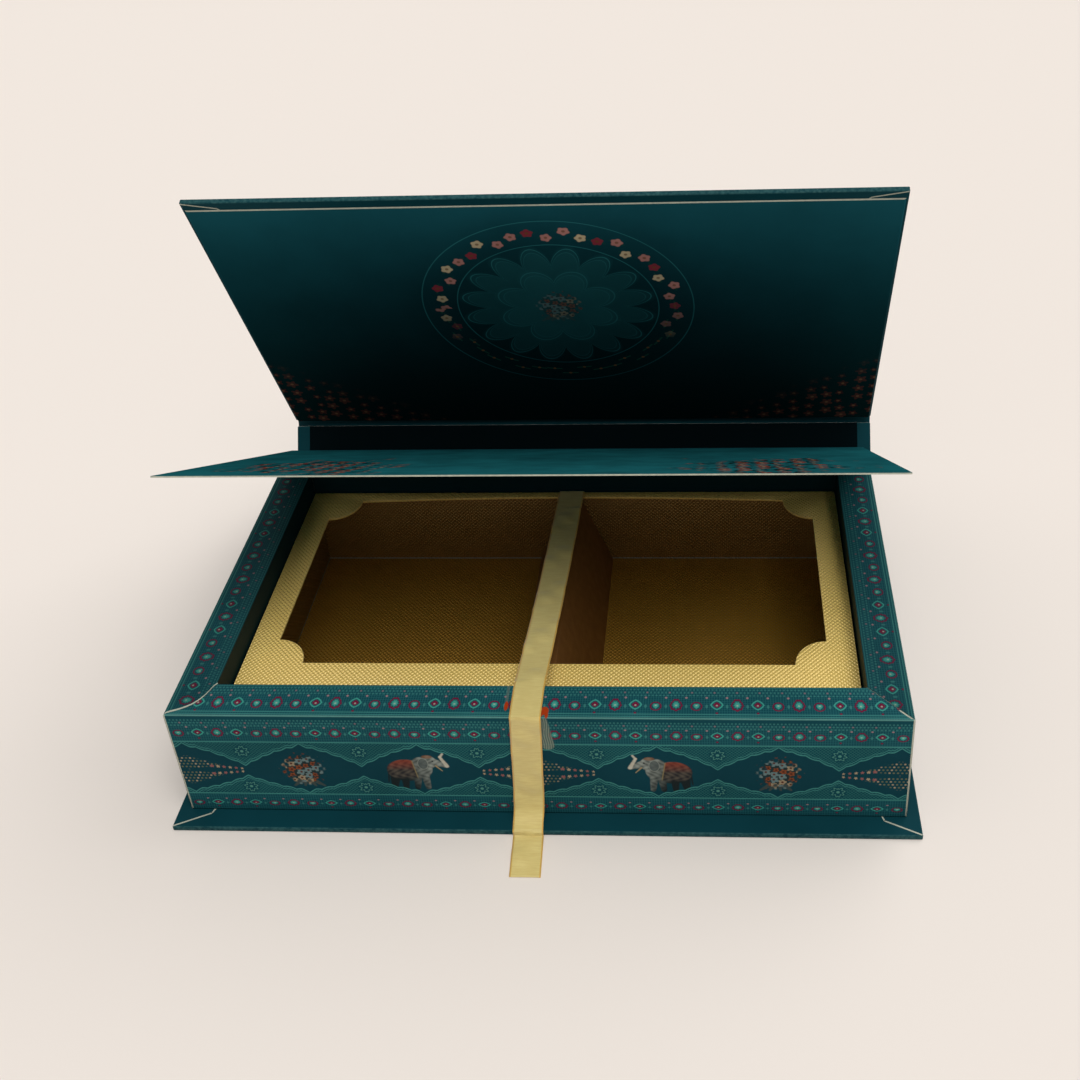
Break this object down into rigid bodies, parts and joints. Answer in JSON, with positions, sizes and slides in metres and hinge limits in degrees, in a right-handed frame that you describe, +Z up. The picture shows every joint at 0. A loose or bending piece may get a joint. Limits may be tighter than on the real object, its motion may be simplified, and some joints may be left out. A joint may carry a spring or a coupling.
{
  "type": "invitation box",
  "caption": "Book-style rigid invitation box: a hollow-walled printed tray on a base cover, a folding spine and lid, a card leaf, and a gold two-compartment insert lifted by a ribbon.",
  "frame": {"origin": "on the underside of the base cover, below the middle of the tray", "axes": "+X along the width to the right, +Y from the front to the hinged back, +Z up"},
  "size_m": [0.311, 0.2436, 0.2235],
  "materials": {
    "greyboard": "matte",
    "teal_paper": "satin",
    "teal_print": "satin",
    "leaf_paper": "gloss",
    "gold_card": "satin",
    "brown_card": "satin",
    "gold_ribbon": "satin"
  },
  "bodies": {
    "base": {"base_board": "greyboard", "base_wrap": "teal_paper", "base_lining": "teal_paper", "front_wall_board": "greyboard", "front_inner_board": "greyboard", "front_rim_board": "greyboard", "front_wrap": "teal_print", "rear_wall_board": "greyboard", "rear_inner_board": "greyboard", "rear_rim_board": "greyboard", "rear_wrap": "teal_print", "left_wall_board": "greyboard", "left_inner_board": "greyboard", "left_rim_board": "greyboard", "left_wrap": "teal_print", "right_wall_board": "greyboard", "right_inner_board": "greyboard", "right_rim_board": "greyboard", "right_wrap": "teal_print", "leaf_tab": "leaf_paper", "lift_ribbon": "gold_ribbon", "lower_hinge_strip": "teal_paper"},
    "spine": {"spine_board": "greyboard", "spine_wrap": "teal_paper", "spine_lining": "teal_paper", "upper_hinge_strip": "teal_paper"},
    "lid": {"lid_board": "greyboard", "lid_wrap": "teal_paper", "lid_lining": "teal_print"},
    "leaf": {"leaf_card": "leaf_paper"},
    "insert": {"insert_floor": "gold_card", "insert_front_wall": "gold_card", "insert_rear_wall": "gold_card", "insert_left_wall": "gold_card", "insert_right_wall": "gold_card", "gold_platform": "gold_card", "tent_divider": "brown_card"}
  },
  "joints": [
    {"name": "spine_hinge", "type": "hinge", "parent": "base", "child": "spine", "pos_m": [0, 0.09373, 0.00013], "axis": [-1, 0, 0], "range_deg": [-31, 59], "deforming": ["lower_hinge_strip"]},
    {"name": "lid_hinge", "type": "hinge", "parent": "spine", "child": "lid", "pos_m": [0, 0.12622, 0.05421], "axis": [-1, 0, 0], "range_deg": [-34, 56], "deforming": ["upper_hinge_strip"]},
    {"name": "leaf_hinge", "type": "hinge", "parent": "base", "child": "leaf", "pos_m": [0, 0.08945, 0.0597], "axis": [-1, 0, 0], "range_deg": [-32.5, 53.53]},
    {"name": "insert_lift", "type": "slide", "parent": "base", "child": "insert", "axis": [0, 0, 1], "range_m": [0, 0.01], "deforming": ["lift_ribbon"]}
  ],
  "couplings": [
    {"joint": "leaf_hinge", "follows": "lid_hinge", "ratio": 0.95588}
  ]
}
